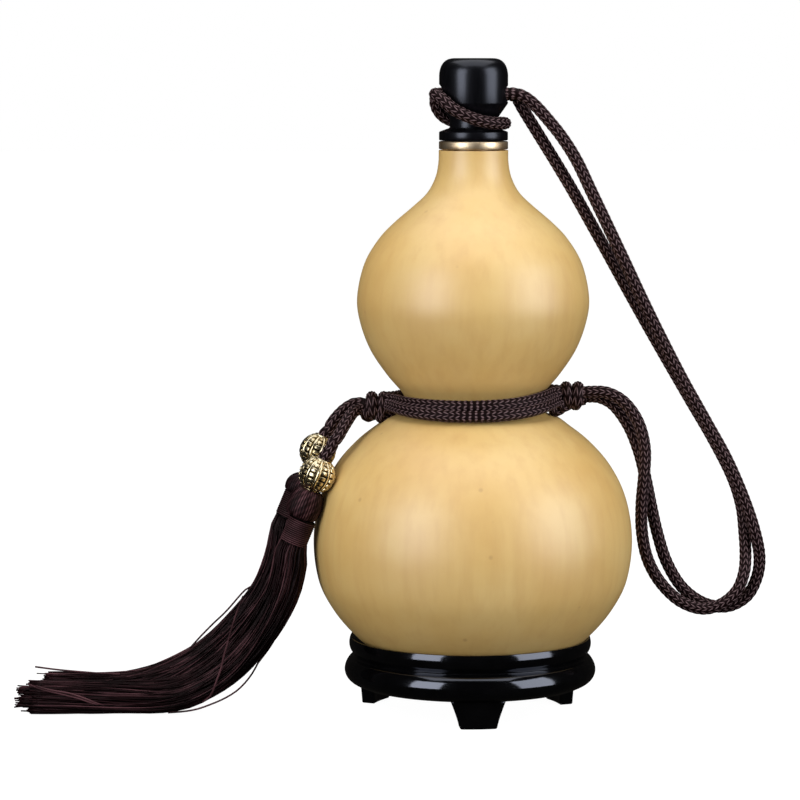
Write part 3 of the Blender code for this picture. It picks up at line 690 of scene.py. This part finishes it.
def hang_at(piece, centre, turn=0.0):
    """Leans a piece made upright about the origin to the tassels' line and moves it to its centre."""
    lean = Vector((0, 0, 1)).rotation_difference(-HANG).to_matrix().to_4x4()
    piece.data.transform(Matrix.Translation(Vector(centre) * MM) @ lean @ Matrix.Rotation(turn, 4, "Z"))


antique, tree, shader = new_finish("antique_brass", 0.26, 1.0)
place = tree.nodes.new("ShaderNodeTexCoord").outputs["Object"]
raised = add_node(tree, "ShaderNodeAttribute", attribute_name="raised").outputs["Fac"]
tarnish = add_node(tree, "ShaderNodeTexNoise", {"Vector": place, "Scale": 500.0, "Detail": 3.0})
metal = ramp(tree, tarnish.outputs["Fac"], (0.35, (0.54, 0.43, 0.23)), (0.65, (0.92, 0.82, 0.59)))
patina = blend(tree, spread(tree, raised, 0.1, 0.65, 0.0, 1.0), (0.024, 0.015, 0.006, 1.0), metal)
cast = add_grain(tree, place, 1800.0, 0.03)
dress(tree, shader, patina, cast["Normal"])

bpy.ops.object.select_all(action="DESELECT")
bpy.ops.mesh.primitive_cube_add(size=1)
bar_shape = bpy.context.object
bar_shape.data.transform(Matrix.Diagonal((*(size * MM for size in BAR_SIZE), 1.0)))
soften = bar_shape.modifiers.new("soften", "BEVEL")
soften.width = BAR_ROUNDING * MM
soften.segments = 2
bpy.ops.object.modifier_apply(modifier=soften.name)
keep_values(bar_shape, "raised", [1.0] * len(bar_shape.data.vertices))

bpy.ops.object.select_all(action="DESELECT")
bpy.ops.mesh.primitive_torus_add(
    major_radius=COLLAR_RADIUS * MM, minor_radius=COLLAR_THICKNESS / 2 * MM,
    major_segments=40, minor_segments=10,
)
collar_shape = bpy.context.object
keep_values(collar_shape, "raised", [0.9] * len(collar_shape.data.vertices))


def copy_of(shape, move):
    """Another one of a shape, with its own mesh moved there, ready to be joined."""
    made = shape.copy()
    made.data = shape.data.copy()
    made.data.transform(move)
    bpy.context.scene.collection.objects.link(made)
    made.select_set(True)
    return made


for order, (side, centre) in enumerate(BEADS.items()):
    bpy.ops.object.select_all(action="DESELECT")
    bpy.ops.mesh.primitive_uv_sphere_add(segments=120, ring_count=60, radius=BEAD_BODY * MM)
    bead = bpy.context.object
    bead.name = f"bead_{side}_cast"
    bead.data.name = bead.name
    heights = []
    for vertex in bead.data.vertices:
        turn = math.atan2(vertex.co.y, vertex.co.x) * BEAD_RIBS / (2 * math.pi)
        around = 2 * math.pi * math.hypot(vertex.co.x, vertex.co.y) / MM
        gap = abs(turn - round(turn)) * around / BEAD_RIBS
        lift = max(0.0, 1.0 - (gap / RIB_HALF_WIDTH) ** 2) ** 0.5
        heights.append(lift)
        vertex.co *= 1 + RIB_HEIGHT * lift / BEAD_BODY
    keep_values(bead, "raised", heights)
    for column in range(BEAD_RIBS):
        for row in BAR_ROWS:
            tall = math.radians(row)
            turn = (column + 0.5) * 2 * math.pi / BEAD_RIBS
            wide = max(0.5, 3.2 * math.cos(tall) - 1.15)  # the bars narrow with the ribs towards the poles
            fit = Matrix.Diagonal((1, wide / BAR_SIZE[1], 1, 1))
            out = Matrix.Translation(Vector((BEAD_BODY, 0, 0)) * MM) @ fit
            copy_of(bar_shape, Matrix.Rotation(turn, 4, "Z") @ Matrix.Rotation(-tall, 4, "Y") @ out)
    for end in (-1, 1):
        copy_of(collar_shape, Matrix.Translation((0, 0, end * COLLAR_PLACE * MM)))
    bead.select_set(True)
    bpy.context.view_layer.objects.active = bead
    bpy.ops.object.join()
    bpy.ops.object.shade_smooth_by_angle(angle=math.radians(40))
    hang_at(bead, centre, 0.35 + 0.2 * order)
    settle(bead, antique, "bead_brass", f"bead_{side}")
for shape in (bar_shape, collar_shape):
    bpy.data.objects.remove(shape, do_unlink=True)

# The tassels: a few hundred dark maroon silk threads folded over a cord. A thread wound round the
# neck binds them, the fold above it makes a round head, and the skirt trails down to the floor.
HEAD_OFFSET = 10.7
HEAD_OUTLINES = {
    "front": [
        (0.0, 4.4), (1.9, 4.7), (2.8, 5.2), (3.6, 5.3), (4.3, 4.8), (5.0, 3.6), (5.6, 1.2), (5.7, -1.5),
        (5.4, -3.3), (4.7, -4.3), (3.0, -4.7), (0.0, -4.7),
    ],
    "back": [
        (0.0, 1.8), (1.9, 1.9), (3.3, 1.7), (4.5, 0.7), (5.4, -0.7), (5.8, -2.2), (5.7, -3.6),
        (5.2, -4.8), (3.0, -5.3), (0.0, -5.3),
    ],
}
HEAD_RADIUS = 5.7
WRAP_OFFSET = 19.9
WRAP_SHIFT = {"front": (1.1, 0.0, -0.45), "back": (-0.6, 0.0, 0.3)}
WRAP_RADIUS = 4.6
WRAP_LENGTH = 9.6
WINDING = 0.62
WINDING_RIDGE = 0.24
HEAD_THREADS = 40

silk, tree, shader = new_finish(
    "tassel_silk", 0.45, Specular_IOR_Level=0.12, Specular_Tint=(1.0, 0.80, 0.82, 1.0)
)
place = tree.nodes.new("ShaderNodeTexCoord").outputs["Object"]
thread_tone_and_shade = add_node(tree, "ShaderNodeAttribute", attribute_name="thread").outputs["Fac"]
fibre = add_grain(tree, place, 3000.0, 0.02)
# Low thread values carry painted shade: the skirts' cores and the grooves of the heads and windings; the
# rest is the threads' own tone.
tone = ramp(
    tree, thread_tone_and_shade,
    (0.0, (0.0010, 0.0002, 0.0003)), (0.5, (0.014, 0.0040, 0.0052)), (1.0, (0.17, 0.075, 0.088)),
)
patches = add_node(tree, "ShaderNodeTexNoise", {"Vector": place, "Scale": 75.0, "Detail": 2.0})
gloom = spread(tree, patches.outputs["Fac"], 0.38, 0.62, 0.8, 0.0)
shaded = blend(tree, gloom, tone, (0.0015, 0.0005, 0.0005, 1.0))
dress(tree, shader, shaded, fibre["Normal"])


def make_head(name, outline, centre):
    """The fold of threads at the top, as a ball with a fine ridge for each thread, painted darker between
    the ridges as shade.
    """
    head = turn_on_lathe(name, smooth_route(outline, 0.5), 4 * HEAD_THREADS)
    tones_with_painted_shade = []
    for vertex in head.data.vertices:
        turn = math.atan2(vertex.co.y, vertex.co.x)
        full = math.hypot(vertex.co.x, vertex.co.y) / MM / HEAD_RADIUS
        ridge = math.cos(HEAD_THREADS * turn + 200 * vertex.co.z)
        swell = 1 + (0.020 * ridge + 0.014 * math.sin(7 * turn + 150 * vertex.co.z)) * full
        vertex.co.x *= swell
        vertex.co.y *= swell
        cross = math.sin(31 * turn - 1400 * vertex.co.z) * math.sin(17 * turn + 900 * vertex.co.z)
        # painted shade: lighter on each thread's ridge and darker between them; the crossing pattern and
        # the slow wave round the head are the threads' own uneven tone
        tones_with_painted_shade.append(0.52 + 0.24 * ridge * full + 0.22 * cross + 0.12 * math.sin(9 * turn))
    keep_values(head, "thread", tones_with_painted_shade)
    bpy.ops.object.shade_smooth()
    hang_at(head, centre)
    return head


def make_wrap(name, centre):
    """The neck's winding, as a stack of round turns of thread, painted dark in the grooves between turns
    and at its tapered ends as shade.
    """
    turns = round(WRAP_LENGTH / WINDING)
    outline = [(0.0, WRAP_LENGTH / 2)]
    for i in range(turns * 6 + 1):
        wave = abs(math.sin(math.pi * i / 6))
        taper = 0.7 * max(0.0, 1.0 - min(i, turns * 6 - i) / 9) ** 2
        radius = WRAP_RADIUS - taper - WINDING_RIDGE + WINDING_RIDGE * wave
        outline.append((radius, WRAP_LENGTH * (0.5 - i / (turns * 6))))
    outline.append((0.0, -WRAP_LENGTH / 2))
    wrap = turn_on_lathe(name, outline, 48)
    bpy.ops.object.shade_smooth()
    tones_with_painted_shade = []
    for vertex in wrap.data.vertices:
        radius = math.hypot(vertex.co.x, vertex.co.y) / MM
        # painted shade: light on the crest of each turn, dark in the grooves and where the winding tapers
        # at its ends
        tones_with_painted_shade.append(max(0.0, (radius - WRAP_RADIUS + WINDING_RIDGE) / WINDING_RIDGE) * 0.95)
    keep_values(wrap, "thread", tones_with_painted_shade)
    hang_at(wrap, centre)
    return wrap


heads, wraps = {}, {}
for side, centre in BEADS.items():
    head_centre = Vector(centre) + HEAD_OFFSET * HANG
    head = make_head(f"tassel_{side}_fold", HEAD_OUTLINES[side], head_centre)
    settle(head, silk, "tassel_silk", f"tassel_{side}_head")
    wrap_centre = Vector(centre) + WRAP_OFFSET * HANG + Vector(WRAP_SHIFT[side])
    wrap = make_wrap(f"tassel_{side}_winding", wrap_centre)
    settle(wrap, silk, "tassel_silk", f"tassel_{side}_wrap")
    heads[side] = head
    wraps[side] = wrap

# The skirts: each is its threads, one by one, round a close core of the same threads. They spread
# below the winding, sweep down to the left and lie along the floor, with ragged tips, a few strays
# and the loose threads that the photo shows.
SKIRT_ROUTES = {
    "front": [
        (-59.2, -14.5, 59.6), (-60.2, -14.5, 56.4), (-60.9, -14.5, 50.6), (-62.9, -14.1, 42.3),
        (-66.8, -13.4, 34.1), (-71.6, -12.6, 27.0), (-76.8, -11.8, 20.8), (-82.4, -11.0, 15.6),
        (-88.8, -10.2, 11.2), (-96.0, -9.7, 7.8), (-104.6, -9.5, 6.2), (-115.0, -9.4, 5.9),
        (-126.4, -9.2, 5.8), (-137.7, -9.0, 5.8), (-151.4, -8.8, 5.9),
    ],
    "back": [
        (-61.2, -3.9, 66.6), (-62.1, -3.6, 63.4), (-62.7, -3.2, 57.0), (-64.3, -2.6, 50.6),
        (-67.5, -1.8, 43.0), (-72.4, -1.0, 35.2), (-78.7, -0.1, 27.6), (-85.6, 0.8, 20.8),
        (-92.9, 1.6, 15.4), (-101.3, 2.2, 11.0), (-110.8, 2.7, 7.8), (-121.6, 3.0, 6.3),
        (-132.9, 3.2, 6.1), (-147.5, 3.4, 6.3),
    ],
}
LOOSE_THREADS = {
    "front": [
        [
            (-63.8, -12.5, 29.7), (-67.5, -12.5, 23.3), (-71.5, -12.5, 17.9), (-72.8, -12.5, 15.4),
            (-74.8, -12.5, 12.5), (-77.2, -12.5, 9.8), (-79.8, -12.5, 7.7), (-83.5, -12.5, 5.6),
            (-87.5, -12.5, 3.9), (-91.8, -12.5, 2.4), (-96.2, -12.5, 1.6), (-101.5, -12.5, 1.2),
        ],
        [
            (-76.1, -17.8, 41.3), (-78.5, -17.9, 35.0), (-80.1, -17.9, 30.0), (-81.3, -17.8, 25.6),
            (-82.5, -17.6, 21.5), (-83.5, -17.4, 17.1), (-85.1, -17.0, 12.7), (-87.0, -15.8, 7.8),
            (-89.8, -13.5, 5.0),
        ],
        [
            (-114.2, -11.5, 1.6), (-118.8, -13.0, 2.5), (-122.7, -14.0, 3.6), (-126.6, -14.5, 4.8),
            (-131.2, -14.6, 6.4), (-137.2, -14.5, 7.9), (-143.2, -14.2, 9.3), (-147.9, -13.6, 11.1),
        ],
        [
            (-116.1, -12.5, 2.1), (-120.0, -13.8, 3.2), (-124.6, -14.4, 4.6), (-129.2, -14.6, 6.5),
            (-134.5, -14.6, 8.2), (-140.5, -14.4, 9.2), (-145.2, -14.0, 10.5),
        ],
    ],
    "back": [
        [
            (-72.5, -2.0, 42.5), (-75.5, -2.0, 41.3), (-78.2, -2.0, 38.6), (-80.9, -2.0, 35.4),
            (-83.6, -2.0, 32.5), (-86.3, -2.0, 30.0), (-88.6, -2.0, 27.7), (-91.3, -2.0, 24.9),
            (-94.7, -2.0, 21.1),
        ],
        [
            (-118.5, 1.0, 11.7), (-125.2, 0.5, 12.1), (-130.5, 0.0, 12.6), (-135.2, 0.0, 13.0),
            (-140.2, 0.0, 13.5), (-146.9, 0.0, 14.4),
        ],
    ],
}
SKIRT_HALF_WIDTH = 5.4
SKIRT_NECK = 4.4
THREAD_NECK = 0.93 * SKIRT_NECK  # the single threads start just inside the winding
CORE_SHARE = 0.86
SKIRT_FLARE = 9.0
THREADS = 400
STRAYS = 8
THREAD_RADIUS = 0.28
THREAD_STEP = 4.0
FLOOR_CLEARANCE = 0.35
random.seed(11)


def skirt_frames(line):
    """The way across a skirt in its own plane, and the way through its depth."""
    along = np.gradient(line, axis=0)
    along /= np.linalg.norm(along, axis=1)[:, None]
    across = np.cross(along, (0.0, 1.0, 0.0))
    across /= np.linalg.norm(across, axis=1)[:, None]
    return across, np.cross(across, along)


def thread_line(line, across, depth, opened, turn, drift, share, stray):
    """One thread's points: it starts tight under the winding and wanders a little as it runs."""
    low, high = (0.55, 1.0) if random.random() < 0.72 else (0.1, 0.6)  # most of them lie near the outside
    out = math.sqrt(random.uniform(low, high))
    wave = random.uniform(0.0, 0.09)
    start = random.uniform(0, 2 * math.pi)
    last = max(6, round(share * len(line)))
    points = []
    for i in range(last):
        part = i / (len(line) - 1)
        size = THREAD_NECK + (SKIRT_HALF_WIDTH - THREAD_NECK) * opened[i]
        away = stray * math.sin(math.pi * min(1, 1.3 * part)) ** 3
        reach = size * out * (1 + wave * math.sin(start + 14 * part) + away)
        angle = turn + drift * part + 0.22 * math.sin(start + 8 * part)
        point = line[i] + reach * (math.cos(angle) * across[i] + math.sin(angle) * depth[i])
        point[2] = max(point[2], FLOOR_CLEARANCE)
        points.append(point)
    return np.array(points)


def make_skirt(name, route, loose):
    """All of a skirt's threads as slim three-sided tubes, in one object with their core."""
    line = smooth_route(route, THREAD_STEP)
    across, depth = skirt_frames(line)
    run = np.arange(len(line)) * np.linalg.norm(line[1] - line[0])
    opened = np.sin(0.5 * math.pi * np.minimum(1.0, run / SKIRT_FLARE))
    points, faces, tones_with_painted_shade = [], [], []

    def add_tube(path, radius, sides, tone):
        first, second = carried_frames(path, False)
        base = len(points)
        for i, centre in enumerate(path):
            size = radius[i] if hasattr(radius, "__len__") else radius
            for j in range(sides):
                angle = 2 * math.pi * j / sides
                points.append(centre + size * (math.cos(angle) * first[i] + math.sin(angle) * second[i]))
                tones_with_painted_shade.append(tone)
        for i in range(len(path) - 1):
            for j in range(sides):
                k = (j + 1) % sides
                lower, upper = base + i * sides, base + (i + 1) * sides
                faces.append((lower + j, lower + k, upper + k, upper + j))
        faces.append(tuple(base + j for j in range(sides - 1, -1, -1)))
        faces.append(tuple(base + (len(path) - 1) * sides + j for j in range(sides)))

    core_size = (SKIRT_NECK + (SKIRT_HALF_WIDTH - SKIRT_NECK) * opened) * CORE_SHARE
    # the core is painted nearly black, as the shade inside the bundle of threads
    add_tube(line[:-2], core_size[:-2], 20, 0.05)
    for i in range(THREADS + STRAYS):
        stray = random.uniform(0.08, 0.24) if i >= THREADS else 0.0
        turn = random.uniform(0, 2 * math.pi)
        drift = random.uniform(-1.0, 1.0)
        wedge = 0.025 * math.cos(turn + drift) ** 2  # the tips make a blunt wedge
        share = random.uniform(0.975, 1.0) - wedge
        path = thread_line(line, across, depth, opened, turn, drift, share, stray)
        tip = path[-1] + (path[-1] - path[-2]) * random.uniform(-0.6, 0.3)
        tip[2] = max(tip[2], FLOOR_CLEARANCE)
        path[-1] = tip
        lock = 0.55 + 0.45 * math.sin(4 * turn + len(route))  # threads of one lock share their shade
        thick = THREAD_RADIUS * random.uniform(0.8, 1.15)
        add_tube(path, thick, 3, random.uniform(0.25, 1.0) * (0.35 + 0.65 * lock))
    for path in loose:
        add_tube(smooth_route(path, 2.0), THREAD_RADIUS * 1.1, 4, 0.8)
    made = mesh_piece(name, np.array(points), faces)
    keep_values(made, "thread", tones_with_painted_shade)
    return made


for side, route in SKIRT_ROUTES.items():
    skirt = make_skirt(f"tassel_{side}_threads", route, LOOSE_THREADS[side])
    settle(skirt, silk, "tassel_silk", f"tassel_{side}_skirt")

# The tassel cords: the cord's two ends come out of the left knot, bend down over the gourd's
# shoulder and go through the beads into the tassels' heads. They lie side by side down to the beads.
TASSEL_CORDS = {
    "front": [
        (-34.2, -1.2, 101.9), (-36.4, -1.6, 101.8), (-38.7, -3.0, 101.5), (-39.7, -5.2, 101.0),
        (-40.7, -7.4, 100.0), (-43.2, -11.7, 96.3), (-45.0, -13.8, 93.3), (-46.5, -14.2, 91.9),
        (-46.8, -14.4, 90.4), (-49.1, -14.5, 87.2), (-51.6, -14.5, 81.2), (-54.3, -14.5, 74.6),
    ],
    "back": [
        (-34.2, 1.4, 102.7), (-36.3, 2.0, 103.0), (-38.2, 2.3, 103.2), (-40.3, 1.8, 102.8),
        (-43.1, 0.0, 101.1), (-45.6, -2.1, 98.7), (-47.3, -3.4, 96.4), (-47.8, -3.7, 94.8),
        (-49.2, -4.0, 93.8), (-51.7, -4.0, 87.8), (-55.2, -4.0, 79.3),
    ],
}
for side, route in TASSEL_CORDS.items():
    strand, middle, strand_length = knit_free_cord(
        f"tassel_cord_{side}_braid", route, f"tassel_cord_{side}", 0.2
    )

# The studio, in metres: a seamless floor that the camera sees white, a soft box at each side in
# front, a broad soft light overhead and a faint warm light from all round, which is white to the
# camera and nearly black in reflections.
FLOOR_SIZE = 12
FLOOR_GLOW = 0.98
AIM = (0, 0, 0.11)
SKY_LIGHT = 0.31
SKY_REFLECTED = 0.012
WHITE = (1.0, 1.0, 1.0, 1.0)
WARM_WHITE = (1.0, 0.91, 0.80, 1.0)
bpy.ops.object.select_all(action="DESELECT")
bpy.ops.mesh.primitive_plane_add(size=FLOOR_SIZE)
floor = bpy.context.object
floor.name = "studio_floor"
pale, tree, shader = new_finish(
    "pale_floor", 0.9, Specular_IOR_Level=0.1, Base_Color=(0.12, 0.12, 0.12, 1.0), Emission_Color=WHITE
)
seen = tree.nodes.new("ShaderNodeLightPath").outputs["Is Camera Ray"]
lit_paper = add_node(tree, "ShaderNodeMath", {0: seen, 1: FLOOR_GLOW}, operation="MULTIPLY")
tree.links.new(lit_paper.outputs["Value"], shader.inputs["Emission Strength"])
floor.data.materials.append(pale)
floor.visible_glossy = False


def add_soft_box(name, turn, distance, height, size, power, colour):
    """A rectangular light that faces the flask, at an angle to the right of the camera's side."""
    bearing = math.radians(turn)
    spot = Vector((distance * math.sin(bearing), -distance * math.cos(bearing), height))
    data = bpy.data.lights.new(name, "AREA")
    data.shape = "RECTANGLE"
    data.size = size[0]
    data.size_y = size[1]
    data.energy = power
    data.color = colour
    light = bpy.data.objects.new(name, data)
    light.location = spot
    light.rotation_euler = (Vector(AIM) - spot).to_track_quat("-Z", "Y").to_euler()
    bpy.context.scene.collection.objects.link(light)


add_soft_box("soft_box_left", -42, 1.0, 0.36, (0.52, 0.8), 6.4, (0.95, 0.97, 1.0))
add_soft_box("soft_box_right", 62, 1.0, 0.36, (0.68, 0.9), 7.8, (0.94, 0.97, 1.0))
add_soft_box("soft_box_top", 0, 0.05, 1.3, (1.6, 1.6), 13.0, (1.0, 1.0, 1.0))

world = bpy.data.worlds.new("studio")
world.use_nodes = True
bpy.context.scene.world = world
sky = world.node_tree
paths = sky.nodes.new("ShaderNodeLightPath").outputs
around = blend(sky, paths["Is Glossy Ray"], SKY_LIGHT, SKY_REFLECTED, "FLOAT")
level = blend(sky, paths["Is Camera Ray"], around, 1.0, "FLOAT")
tint = blend(sky, paths["Is Camera Ray"], WARM_WHITE, WHITE)
sky.links.new(level, sky.nodes["Background"].inputs["Strength"])
sky.links.new(tint, sky.nodes["Background"].inputs["Color"])
bpy.context.scene.view_settings.view_transform = "Standard"
